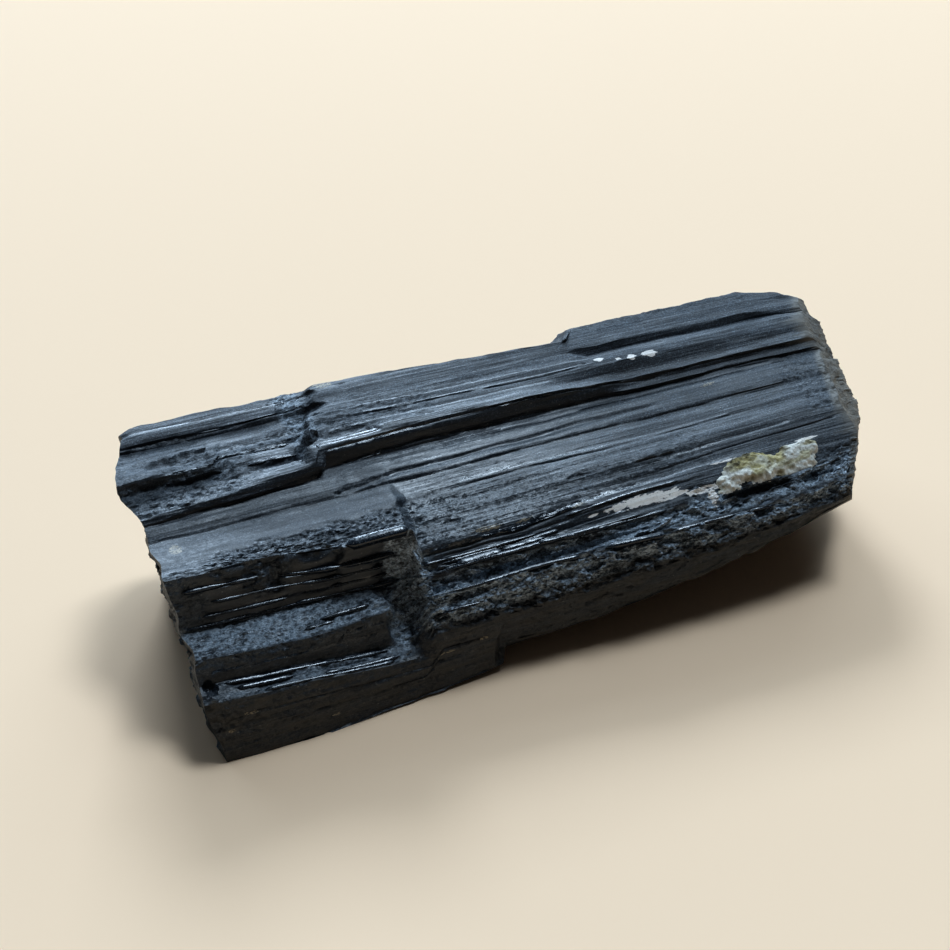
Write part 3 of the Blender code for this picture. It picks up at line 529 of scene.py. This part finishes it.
def relief(grid, places):
    """How far the skin stands out of its plain form, and how rough, how glossy and how calm it is."""
    x = grid[..., 0]
    wear, girth = convexity(grid, places)
    lively = np.ones(x.shape)
    for zone in CALM:
        lively *= 1 - strongest([zone], places, x)
    depth = 0.12 * soft_noise(np.stack([x, girth, 0 * x], axis=-1), (9, 5, 1), 12)
    for number, (high, long, wide) in enumerate(STRIAE):
        depth += high * lively * soft_noise(grid, (long, wide, wide), 41 + number, crisp=True)
    lines, shine = line_relief(x, girth, places)
    depth += lines
    for number, (at, place, half, wide, deep) in enumerate(PITS):
        stray = 0.35 * soft_noise(grid, (0.9, 0.6, 0.6), 800 + number)
        reach = ((x - at) / half + stray) ** 2 + ((places - place) / wide + stray) ** 2
        depth -= deep * np.sqrt(np.clip(1 - reach, 0, 1))
    depth -= 0.11 * wear * np.clip(0.45 + soft_noise(grid, (1.1, 0.5, 0.5), 51), 0, 1.4)
    rough, worn = patch_masks(x, places, grid)
    ragged = 0.4 * soft_noise(grid, (1, 0.5, 0.5), 55)
    for low, high, near, far, proud in SMOOTH:
        mask = inside(x + ragged, low, high, 0.3) * inside(places, near, far, 0.12)
        rough, worn = rough * (1 - mask), worn * (1 - mask)
        depth = depth * (1 - 0.7 * mask) + proud * mask
        shine = np.maximum(shine, 0.4 * mask)
    ground = worn > 0.01
    coarse = np.zeros(x.shape)
    coarse[ground] = 0.8 * crumbs(grid[ground], (0.7, 0.42, 0.42), 61)
    coarse[ground] += 0.7 * crumbs(grid[ground], (0.34, 0.21, 0.21), 62)
    depth += worn * (0.42 * coarse - 0.34)
    front = (places < 5) * (x > -12) & ground
    depth[front] += 0.8 * worn[front] * np.maximum(crumbs(grid[front], (2.2, 1.1, 1.1), 63), -0.7)
    return depth, rough, shine, 1 - lively


def cap(ring, centre, end, seed):
    """Rings that shrink from an end of the skin to its middle, over the broken face that end() gives."""
    middle = np.array(centre)
    rings = []
    for share in np.linspace(1, 0, CAP_RINGS + 1)[1:]:
        flat = middle + (ring[:, 1:] - middle) * share
        x = end(flat[:, 0], flat[:, 1])
        points = np.column_stack([x, flat])
        grain = 0.3 * crumbs(points, (9, 1.9, 1.5), seed) + 0.16 * crumbs(points, (9, 0.7, 0.6), seed + 1)
        x = x + grain * min(1, 5 * (1 - share))
        rings.append(np.column_stack([x, flat])[: 1 if share == 0 else None])
    return rings


# ---- Meshes ----


def grid_faces(rows, columns, first=0, closed=True):
    """Quads of a grid of points numbered row by row."""
    strips = columns if closed else columns - 1
    row, column = np.meshgrid(np.arange(rows - 1), np.arange(strips), indexing="ij")
    after = (column + 1) % columns
    quads = [row * columns + column, (row + 1) * columns + column]
    quads += [(row + 1) * columns + after, row * columns + after]
    return np.stack(quads, axis=-1).reshape(-1, 4) + first


def add(name, data):
    """A new object in the scene, from its mesh, light or camera."""
    thing = bpy.data.objects.new(name, data)
    bpy.context.scene.collection.objects.link(thing)
    return thing


def make_object(name, points, faces, values, material):
    """A mesh object from points in millimetres and arrays of quads or triangles, with a float per value."""
    mesh = bpy.data.meshes.new(name)
    loops = np.concatenate([array.reshape(-1) for array in faces])
    sizes = np.concatenate([np.full(len(array), array.shape[1]) for array in faces])
    mesh.vertices.add(len(points))
    mesh.vertices.foreach_set("co", (points * MM).astype(np.float32).reshape(-1))
    mesh.loops.add(len(loops))
    mesh.loops.foreach_set("vertex_index", loops.astype(np.int32))
    mesh.polygons.add(len(sizes))
    mesh.polygons.foreach_set("loop_start", (np.cumsum(sizes) - sizes).astype(np.int32))
    mesh.update(calc_edges=True)
    for key, value in values.items():
        layer = mesh.attributes.new(key, "FLOAT", "POINT")
        layer.data.foreach_set("value", np.asarray(value, np.float32))
    mesh.materials.append(material)
    return add(name, mesh)


def settle(thing, angle):
    """Thins the mesh to the triangle limit, applies its modifiers and smooths it between sharp edges."""
    triangles = sum(len(face.vertices) - 2 for face in thing.data.polygons)
    if triangles > MOST_TRIANGLES:
        thinner = thing.modifiers.new("thinner", "DECIMATE")
        thinner.ratio = MOST_TRIANGLES / triangles
    depsgraph = bpy.context.evaluated_depsgraph_get()
    mesh = bpy.data.meshes.new_from_object(thing.evaluated_get(depsgraph))
    thing.modifiers.clear()
    thing.data = mesh
    mesh.shade_smooth()
    mesh.set_sharp_from_angle(angle=np.radians(angle))


def in_box(points):
    """The points, kept a hair inside the CAD's box and on or above the floor."""
    low, high = (np.array(corner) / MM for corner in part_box("tourmaline_crystal"))
    return np.clip(points, low + (0.03, 0.03, 0), high - 0.03)


def crystal(material):
    """The crystal's skin, closed over its two broken ends, and its ribs."""
    places = lengthwise_places()
    grid = plain_skin(places)
    outward = normals_of(grid)
    depth, rough, shine, calm = relief(grid, places)
    skin = grid + outward * depth[..., None]
    skin[..., 2] = np.where(grid[..., 2] < RESTING, 0, np.maximum(skin[..., 2], 0))
    left = cap(skin[0], LEFT_CENTRE, left_end, 71)
    right = cap(skin[-1], RIGHT_CENTRE, right_end, 75)
    rows = [*left[-2::-1], *skin, *right[:-1]]
    points = in_box(np.concatenate([*rows, left[-1], right[-1]]) - ORIGIN)
    count = len(places)
    quads = grid_faces(len(rows), count)
    side, after = np.arange(count), (np.arange(count) + 1) % count
    last, middle = (len(rows) - 1) * count, len(rows) * count
    first_fan = np.stack([np.full(count, middle), side, after], axis=-1)
    last_fan = np.stack([last + after, last + side, np.full(count, middle + 1)], axis=-1)
    ends = (len(left) - 1) * count
    rough = np.pad(rough.reshape(-1), (ends, ends + 2), constant_values=(0.75, 0.5))
    rough[-2:] = 1
    shine, calm = (np.pad(mask.reshape(-1), (ends, ends + 2)) for mask in (shine, calm))
    place = np.append(np.tile(places, len(rows)), (0, 0))
    masks = {"rough": rough, "shine": shine, "calm": calm, **paint(points + ORIGIN, place, ends)}
    thing = make_object("crystal_skin", points, (quads, first_fan, last_fan), masks, material)
    settle(thing, 38)
    return thing, ribs(skin, outward, places, material)


def line_points(skin, places, run):
    """Eased points of the worked skin along a line, which runs through pairs of x and place."""
    marks, heights = np.array(run, float).T
    middle = skin[:, len(places) // 4, 0]
    rows = np.flatnonzero((middle > marks[0] - 0.2) & (middle < marks[-1] + 0.2))
    column = np.interp(np.interp(middle[rows], marks, heights), places, np.arange(len(places)))
    low = column.astype(int)
    share = (column - low)[:, None]
    points = skin[rows, low] * (1 - share) + skin[rows, (low + 1) % len(places)] * share
    padded = np.pad(points, ((RIB_EASE // 2, RIB_EASE // 2), (0, 0)), mode="edge")
    window = np.ones(RIB_EASE) / RIB_EASE
    eased = np.stack([np.convolve(padded[:, axis], window, "valid") for axis in range(3)], axis=-1)
    eased[:, 0] = points[:, 0]
    return eased[::RIB_STEP], rows[::RIB_STEP], low[::RIB_STEP]


def ribs(skin, outward, places, material):
    """The fine ribs, as fins rooted in the skin, which swell, thin and break off along their length."""
    turn = np.linspace(0, 2 * np.pi, RIB_SIDES, endpoint=False)
    wide, tall = (np.sign(wave(turn)) * np.abs(wave(turn)) ** RIB_SQUARENESS for wave in (np.cos, np.sin))
    tall = RIB_RISE * np.where(tall < 0, RIB_ROOT * tall, tall)
    across = np.cross(LIT, (1, 0, 0))
    across /= np.linalg.norm(across)
    points, quads, count = [], [], 0
    for number, (run, half, high) in enumerate(RIBS):
        line, rows, columns = line_points(skin, places, run)
        along = line * (1, 0, 0)
        size = 0.95 + 0.55 * soft_noise(along, (1.9, 1, 1), 850 + number)
        size = np.clip(size + 0.3 * soft_noise(along, (0.6, 1, 1), 880 + number), 0, 1.15)
        if half > WIDE_RIB:
            size[:] = 1
        size = size * inside(line[:, 0], run[0][0] + 0.4, run[-1][0] - 0.4, 0.5)
        size[[0, -1]] = 0
        sway = 0.05 * soft_noise(along, (4.5, 1, 1), 910 + number)
        centre = line + across * sway[:, None] + RIB_LIFT * outward[rows, columns]
        ring = half * np.outer(wide, across) + high * np.outer(tall, LIT)
        points.append((centre[:, None] + ring * size[:, None, None]).reshape(-1, 3))
        quads.append(grid_faces(len(line), RIB_SIDES, first=count))
        count += len(points[-1])
    points = in_box(np.concatenate(points) - ORIGIN)
    masks = {"shine": np.ones(len(points)), "calm": np.ones(len(points))}
    thing = make_object("crystal_ribs", points, quads, masks, material)
    settle(thing, 60)
    return thing


def paint(points, place, ends):
    """The place and the masks that the shader reads at each point. Most of them are 0 on the broken ends."""
    x, y, z = points.T
    on_skin = np.zeros(len(points))
    on_skin[ends : len(points) - ends - 2] = 1
    bright = smooth_step(x, -9.6, -8.8) * (1 - smooth_step(x, 4, 18))
    return {
        "place": place,
        "painted": on_skin * inside(place, 0.15, 23, 0.01),
        # The front mask is where painted sheen pales the broken ground.
        "front": on_skin * strongest(PAINTED_SHEEN_ZONES, place, x) * (1 - strongest(NO_PAINTED_SHEEN_ZONES, place, x)),
        "sheen": on_skin * inside(place, 6.6, 12.2, 0.4) * bright,
        "matte": on_skin * inside(place, 16.4, 22.5, 0.4),
        "dirt": on_skin * strongest(DIRTY, place, x),
        "dull": smooth_step(x, -4, 16),
        "bevel": inside(x, lowest_plane(RIGHT_PLANES[:3], y, z) - 0.5, 99, 0.5) * (x > 20),
    }


# ---- The feldspar crust ----

# Its rim, as pairs of x and place, then how many millimetres one place is there.
CRUST_OUTLINE = (
    (17.5, 4.95), (17.8, 5.4), (18.6, 5.75), (19.5, 5.95), (20.2, 6.5), (20.9, 7), (21.8, 7.15),
    (22.5, 6.6), (23.2, 6.1), (24.2, 5.9), (25, 6.1), (26.5, 6.3), (27.6, 6.35), (28.5, 6), (28.3, 5.4),
    (27.4, 5.12), (26, 4.98), (24, 4.96), (22, 5.04), (20, 5.08), (18.8, 5), (17.9, 4.8),
)
CRUST_PLACE = 1.7

# The grid that it is cut from, how deep it is at most, how far its rim is sunk, and its thickness.
CRUST_X, CRUST_PLACES = np.arange(16.8, 29.4, 0.085), np.linspace(4.6, 7.5, 84)
CRUST_DEPTH, CRUST_SUNK, CRUST_SHELL = 0.62, 0.12, 0.25


def rim_distance(x, y, outline):
    """Distance to a closed outline, positive inside it."""
    nearest = np.full(x.shape, 99)
    crossings = np.zeros(x.shape, int)
    for (ax, ay), (bx, by) in zip(outline, np.roll(outline, -1, axis=0)):
        run_x, run_y = bx - ax, by - ay
        share = np.clip(((x - ax) * run_x + (y - ay) * run_y) / (run_x**2 + run_y**2), 0, 1)
        nearest = np.minimum(nearest, np.hypot(x - ax - share * run_x, y - ay - share * run_y))
        spans = (ay > y) != (by > y)
        beyond = x < ax + (y - ay) * run_x / np.where(spans, run_y, 1)
        crossings += spans & beyond
    return np.where(crossings % 2 == 1, nearest, -nearest)


def crust(material):
    """The lumpy feldspar, as a thin shell with a ragged rim that sinks into the crystal's skin."""
    grid = np.stack([np.column_stack([CRUST_X, *skin_at(CRUST_X, place)]) for place in CRUST_PLACES], axis=1)
    normal = np.cross(np.gradient(grid, axis=0), np.gradient(grid, axis=1))
    normal /= np.linalg.norm(normal, axis=-1, keepdims=True)
    across = np.tile(CRUST_PLACES, (len(CRUST_X), 1)) * CRUST_PLACE
    inward = rim_distance(grid[..., 0], across, np.array(CRUST_OUTLINE) * (1, CRUST_PLACE))
    ragged = 0.35 * soft_noise(grid, (0.9, 0.7, 0.7), 101) + 0.2 * soft_noise(grid, (0.3, 0.3, 0.3), 102)
    rise = smooth_step(inward + ragged, -0.1, 0.55)
    lumps = 0.55 + 0.3 * soft_noise(grid, (1.5, 1, 1), 103) + 0.12 * crumbs(grid, (0.6, 0.45, 0.45), 104)
    lumps = lumps + 0.06 * crumbs(grid, (0.26, 0.2, 0.2), 105)
    height = CRUST_DEPTH * rise * lumps - CRUST_SUNK * (1 - rise)
    points = (grid + normal * height[..., None]).reshape(-1, 3) - ORIGIN
    faces = grid_faces(len(CRUST_X), len(CRUST_PLACES), closed=False)
    kept = (height.reshape(-1)[faces] > -0.6 * CRUST_SUNK).any(axis=1)
    upper = smooth_step(CRUST_PLACES + 0.5 * soft_noise(grid, (1.2, 0.6, 0.6), 106), 5.25, 5.8)
    stain = upper * inside(grid[..., 0], 18.6, 24.6, 1)
    stain = np.maximum(stain, 0.7 * smooth_step(soft_noise(grid, (1.4, 0.5, 0.5), 107), 0.15, 0.5))
    thing = make_object("crust_skin", points, (faces[kept],), {"stain": stain.reshape(-1)}, material)
    shell = thing.modifiers.new("shell", "SOLIDIFY")
    shell.thickness, shell.offset = CRUST_SHELL * MM, -1
    settle(thing, 50)
    return thing


# ---- Materials ----

# The tourmaline and its broken ground, each from its darkest to its palest; the palest ground colour is
# painted sheen.
BLACK, BLUE_BLACK = (0.004, 0.007, 0.012), (0.01, 0.016, 0.026)
DARK_GROUND, GREY_GROUND, PAINTED_SHEEN_CHUNK = (0.026, 0.034, 0.044), (0.066, 0.082, 0.1), (0.6, 0.7, 0.8)

# What lies on it. The dusting and the pale grains on faces that look up are partly real and partly painted
# sheen.
DUST_AND_PAINTED_SHEEN, FLECK_AND_PAINTED_SHEEN, SPECK = (0.05, 0.064, 0.08), (0.12, 0.15, 0.18), (0.2, 0.2, 0.19)
EARTH, BEVEL_GREY = (0.03, 0.026, 0.02), (0.19, 0.17, 0.14)
TAN_SPOT, WHITE_FILM = (0.34, 0.28, 0.19), (1, 0.94, 0.88)

CREAM, CHALK = (0.66, 0.63, 0.54), (0.86, 0.84, 0.78)
YELLOW_STAIN, BROWN_STAIN = (0.44, 0.37, 0.18), (0.12, 0.1, 0.05)
PINE = (1, 0.725, 0.5)


class Nodes:
    """A short way to write a material's node tree."""

    def __init__(self, name):
        self.material = bpy.data.materials.new(name)
        self.material.use_nodes = True
        self.tree = self.material.node_tree
        self.shader = self.tree.nodes["Principled BSDF"]

    def node(self, kind, inputs=(), **settings):
        node = self.tree.nodes.new("ShaderNode" + kind)
        for key, value in settings.items():
            setattr(node, key, value)
        self.feed(node, inputs)
        return node

    def feed(self, node, inputs):
        """Sets or links sockets of a node, each by its name or number."""
        for key, value in dict(inputs).items():
            socket = node.inputs[key]
            if isinstance(value, bpy.types.NodeSocket):
                self.tree.links.new(value, socket)
            elif isinstance(value, tuple) and socket.type == "RGBA":
                socket.default_value = (*value, 1)
            else:
                socket.default_value = value

    def mapped(self, size):
        """The object's own coordinates, in steps of one size along each axis, given in millimetres."""
        where = self.node("TexCoord").outputs["Object"]
        scale = tuple(1 / (MM * length) for length in size)
        return self.node("Mapping", {"Vector": where, "Scale": scale}).outputs["Vector"]

    def noise(self, size, detail=2, rough=0.5):
        """Noise in space from 0 to 1, with lumps of about one size."""
        inputs = {"Vector": self.mapped(size), "Scale": 1, "Detail": detail, "Roughness": rough}
        return self.node("TexNoise", inputs).outputs["Fac"]

    def cells(self, size):
        """Distance to scattered points, which lie about one size apart."""
        return self.node("TexVoronoi", {"Vector": self.mapped(size), "Scale": 1}).outputs["Distance"]

    def grains(self, size):
        """Height of scattered flat grains of about one size, each tilted its own way."""
        mapped = self.mapped(size)
        cell = self.node("TexVoronoi", {"Vector": mapped, "Scale": 1})
        local = self.node("VectorMath", {0: mapped, 1: cell.outputs["Position"]}, operation="SUBTRACT")
        tilt = self.node("VectorMath", {0: cell.outputs["Color"], 1: (0.5, 0.5, 0.5)}, operation="SUBTRACT")
        inputs = {0: local.outputs["Vector"], 1: tilt.outputs["Vector"]}
        return self.node("VectorMath", inputs, operation="DOT_PRODUCT").outputs["Value"]

    def patches(self, table, ragged):
        """1 inside ragged ovals on the skin, each given by x, place, half length and half width in places."""
        where = self.node("TexCoord").outputs["Object"]
        x = self.node("SeparateXYZ", {"Vector": where}).outputs["X"]
        place, most = self.attribute("place"), None
        for at, middle, half, wide in table:
            start = (at - ORIGIN[0]) * MM
            along = self.ramp(x, start, start + half * MM, clamp=False)
            across = self.ramp(place, middle, middle + wide, clamp=False)
            square = self.math("ADD", self.math("POWER", along, 2), self.math("POWER", across, 2))
            near = self.math("SUBTRACT", 1, square)
            most = near if most is None else self.math("MAXIMUM", most, near)
        edge = self.math("ADD", most, self.ramp(ragged, 0.3, 0.7, -0.8, 0.8))
        return self.math("MULTIPLY", self.ramp(edge, 0.1, 0.28), self.attribute("painted"))

    def attribute(self, name):
        return self.node("Attribute", attribute_name=name).outputs["Fac"]

    def ramp(self, value, low, high, to_low=0, to_high=1, clamp=True):
        inputs = {"Value": value, "From Min": low, "From Max": high, "To Min": to_low, "To Max": to_high}
        return self.node("MapRange", inputs, clamp=clamp).outputs["Result"]

    def math(self, operation, first, second):
        clamp = operation == "MULTIPLY"
        return self.node("Math", {0: first, 1: second}, operation=operation, use_clamp=clamp).outputs[0]

    def mix(self, share, first, second):
        inputs = {"Factor": share, "A": first, "B": second}
        return self.node("Mix", inputs, data_type="RGBA").outputs["Result"]

    def cover(self, colour, mask, pattern, over):
        """The colour, with another over it where both the mask and the pattern are strong."""
        return self.mix(self.math("MULTIPLY", mask, pattern), colour, over)

    def bump(self, height, distance, strength, under=None):
        """A normal from a height, over the normal under it. The distance is in millimetres."""
        inputs = {"Height": height, "Distance": distance * MM, "Strength": strength}
        if under is not None:
            inputs["Normal"] = under
        return self.node("Bump", inputs).outputs["Normal"]


def schorl():
    """Near-black glassy tourmaline: fine striae along X, grain on broken ground, painted sheen, film, specks
    and dirt.
    """
    n = Nodes("schorl")
    film = n.patches(FILM, n.noise((0.9, 0.35, 0.35), 4, 0.65))
    surface = {"Base Color": schorl_colour(n, film), "Roughness": schorl_roughness(n, film)}
    n.feed(n.shader, {**surface, "IOR": 1.64, "Normal": schorl_normal(n)})
    return n.material


def schorl_colour(n, film):
    """Blue-black, greyer on broken ground, with a dusting, specks, earth, tan spots and the white film over
    it.
    Painted sheen pales the front broken ground, and is part of the dusting and the pale grains on faces that
    look up.
    """
    grain, mottle = n.noise((0.2, 0.13, 0.13), 3, 0.7), n.noise((2.4, 0.9, 0.9), 3, 0.6)
    colour = n.mix(n.ramp(mottle, 0.35, 0.7), BLACK, BLUE_BLACK)
    ground = n.mix(n.ramp(mottle, 0.35, 0.65), DARK_GROUND, GREY_GROUND)
    # Painted sheen: pale blue-grey lumps on the front broken ground and the shelf, which the lights barely
    # reach.
    sheen_patches = n.ramp(n.noise((1.5, 0.8, 0.8), 4, 0.75), 0.38, 0.5)
    ground = n.cover(ground, n.attribute("front"), sheen_patches, PAINTED_SHEEN_CHUNK)
    pits = n.ramp(n.cells((0.75, 0.42, 0.42)), 0.22, 0.4, 0.35, 1)
    broken = n.math("MULTIPLY", n.ramp(grain, 0.36, 0.6, 0.15, 1), pits)
    colour = n.cover(colour, n.attribute("rough"), broken, ground)

    normal = n.node("NewGeometry").outputs["Normal"]
    upward = n.node("SeparateXYZ", {"Vector": normal}).outputs["Z"]
    # How much a face looks up: a dusting settles there, and painted sheen stands in for the light from above.
    settled_and_lit = n.ramp(upward, 0.1, 0.7, 0.1, 1)
    dust_and_sheen = n.math("MULTIPLY", n.ramp(grain, 0.55, 0.7), n.ramp(mottle, 0.3, 0.7, 0.1, 0.55))
    colour = n.cover(colour, dust_and_sheen, settled_and_lit, DUST_AND_PAINTED_SHEEN)
    flecks_and_sheen = n.ramp(n.noise((0.16, 0.11, 0.11), 2, 0.6), 0.52, 0.66)
    flecks_and_sheen = n.math("MULTIPLY", flecks_and_sheen, n.ramp(mottle, 0.2, 0.8, 0.2, 0.9))
    colour = n.cover(colour, flecks_and_sheen, settled_and_lit, FLECK_AND_PAINTED_SHEEN)
    specks = n.ramp(n.cells((0.55, 0.4, 0.4)), 0.1, 0.16, 1, 0)
    colour = n.cover(colour, specks, n.ramp(mottle, 0.45, 0.6, 0, 0.8), SPECK)

    streaks = n.ramp(n.noise((3, 0.5, 0.5), 4, 0.6), 0.38, 0.68)
    colour = n.cover(colour, n.attribute("dirt"), streaks, EARTH)
    colour = n.cover(colour, n.attribute("bevel"), n.ramp(mottle, 0.25, 0.55, 0.35, 0.9), BEVEL_GREY)
    tan = n.patches(TAN, n.noise((0.5, 0.25, 0.25), 4, 0.65))
    colour = n.cover(colour, tan, n.ramp(grain, 0.42, 0.58), TAN_SPOT)
    return n.cover(colour, film, n.ramp(grain, 0.25, 0.45, 0.6, 1), WHITE_FILM)


def schorl_roughness(n, film):
    """Silky along the striae, glossier on ribs and the facets in full light, duller on film and the ridge."""
    gloss = n.ramp(n.noise((7, 0.35, 0.35), 3, 0.6), 0.3, 0.7, 0.36, 0.6)
    changes = {"rough": 0.05, "dull": 0.1, "shine": -0.26, "matte": 0.12, "sheen": -0.12}
    for name, change in changes.items():
        gloss = n.math("ADD", gloss, n.ramp(n.attribute(name), 0, 1, 0, change))
    return n.math("ADD", gloss, n.ramp(film, 0, 1, 0, 0.45))


def schorl_normal(n):
    """Broad and fine striae, then three sizes of grain, which are strongest on broken ground."""
    calm, front = n.attribute("calm"), n.attribute("front")
    striae = n.bump(n.noise((9, 0.3, 0.3), 3, 0.6), 0.11, n.ramp(calm, 0, 0.8, 0.75, 0.12))
    striae = n.bump(n.noise((6, 0.09, 0.09), 2, 0.6), 0.022, n.ramp(calm, 0, 0.8, 0.6, 0.2), striae)
    grit = n.ramp(n.attribute("rough"), 0, 1, 0.1, 0.55)
    grit = n.math("ADD", grit, n.ramp(front, 0, 1, 0, 0.35))
    grit = n.math("ADD", grit, n.ramp(n.attribute("dirt"), 0, 1, 0, 0.25))
    grains = n.bump(n.grains((0.8, 0.55, 0.55)), 0.4, n.ramp(front, 0, 1, 0, 0.6), striae)
    grains = n.bump(n.grains((0.34, 0.24, 0.24)), 0.22, grit, grains)
    return n.bump(n.grains((0.17, 0.13, 0.13)), 0.1, grit, grains)


def feldspar():
    """White, crumbly feldspar stained yellow and brown."""
    n = Nodes("feldspar")
    grain, mottle = n.noise((0.22, 0.18, 0.18), 3, 0.65), n.noise((1.3, 0.8, 0.8), 3, 0.6)
    colour = n.mix(n.ramp(grain, 0.35, 0.65), CREAM, CHALK)
    colour = n.cover(colour, n.attribute("stain"), n.ramp(mottle, 0.22, 0.42), YELLOW_STAIN)
    colour = n.cover(colour, n.attribute("stain"), n.ramp(mottle, 0.47, 0.58), BROWN_STAIN)
    normal = n.bump(grain, 0.08, 0.8, n.bump(mottle, 0.2, 0.5))
    roughness = n.ramp(grain, 0.3, 0.7, 0.75, 0.92)
    n.feed(n.shader, {"Base Color": colour, "Roughness": roughness, "Normal": normal})
    return n.material


def board():
    n = Nodes("pale_board")
    n.feed(n.shader, {"Base Color": PINE, "Roughness": 0.9, "Specular IOR Level": 0.15})
    return n.material


# ---- Floor, light and camera, in metres ----

FLOOR_REACH = 1.3

# Soft rectangular lights: the way to each from the object, its width and height, how bright it looks, and
# its colour. The pane is mirrored by facets that face up, and the glint by those that tip to the near side.
LIGHT_DISTANCE = 2
LIGHTS = {
    "window": ((0.205, 0.842, 0.5), (3, 1.2), 2.25, (0.58, 0.79, 1)),
    "pane": ((0.19, 0.845, 0.5), (0.6, 0.5), 27.5, (0.66, 0.82, 1)),
    "upper": ((0.383, 0.321, 0.866), (1.3, 0.9), 2, (0.62, 0.81, 1)),
    "glint": ((0.33, 0.21, 0.92), (0.6, 0.45), 18, (0.7, 0.85, 1)),
}
ROOM_COLOUR, ROOM_STRENGTH = (0.9, 0.95, 1), 0.03

# The photograph's view: how far it is turned to the left end, how far it looks down, and from where.
VIEW_TURN, VIEW_RISE = np.radians((24, 35))
VIEW_PLACE = (-0.04997, -0.10164, 0.08901)
SENSOR, LENS = 36, 60.63


def facing(back, place):
    """The matrix of an upright camera or light, from the unit vector behind it and its place."""
    right = np.cross((0, 0, 1), back)
    right /= np.linalg.norm(right)
    return Matrix([*zip(right, np.cross(back, right), back, place), (0, 0, 0, 1)])


def floor():
    mesh = bpy.data.meshes.new("floor")
    corners = [(x * FLOOR_REACH, y * FLOOR_REACH, 0) for x, y in ((-1, -1), (1, -1), (1, 1), (-1, 1))]
    mesh.from_pydata(corners, [], [(0, 1, 2, 3)])
    mesh.materials.append(board())
    add("floor", mesh)


def lights():
    for name, (direction, size, radiance, colour) in LIGHTS.items():
        light = bpy.data.lights.new(name, "AREA")
        light.shape = "RECTANGLE"
        light.size, light.size_y = size
        light.energy = radiance * np.pi * size[0] * size[1]
        light.color = colour
        back = np.array(direction) / np.linalg.norm(direction)
        add(name, light).matrix_world = facing(back, back * LIGHT_DISTANCE)
    world = bpy.data.worlds.new("room")
    world.use_nodes = True
    background = world.node_tree.nodes["Background"].inputs
    background["Color"].default_value = (*ROOM_COLOUR, 1)
    background["Strength"].default_value = ROOM_STRENGTH
    bpy.context.scene.world = world


def camera():
    data = bpy.data.cameras.new("camera")
    data.sensor_width, data.lens = SENSOR, LENS
    data.clip_start, data.clip_end = 0.005, 10
    level = np.cos(VIEW_RISE)
    back = (-np.sin(VIEW_TURN) * level, -np.cos(VIEW_TURN) * level, np.sin(VIEW_RISE))
    thing = add("camera", data)
    thing.matrix_world = facing(back, VIEW_PLACE)
    bpy.context.scene.camera = thing


bpy.context.scene.view_settings.view_transform = "Standard"
bpy.context.scene.view_settings.look = "Medium High Contrast"
floor()
lights()
camera()

for piece in crystal(schorl()):
    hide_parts("tourmaline_crystal")
    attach(piece, "root")

patch = crust(feldspar())
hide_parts("feldspar_crust")
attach(patch, "root")
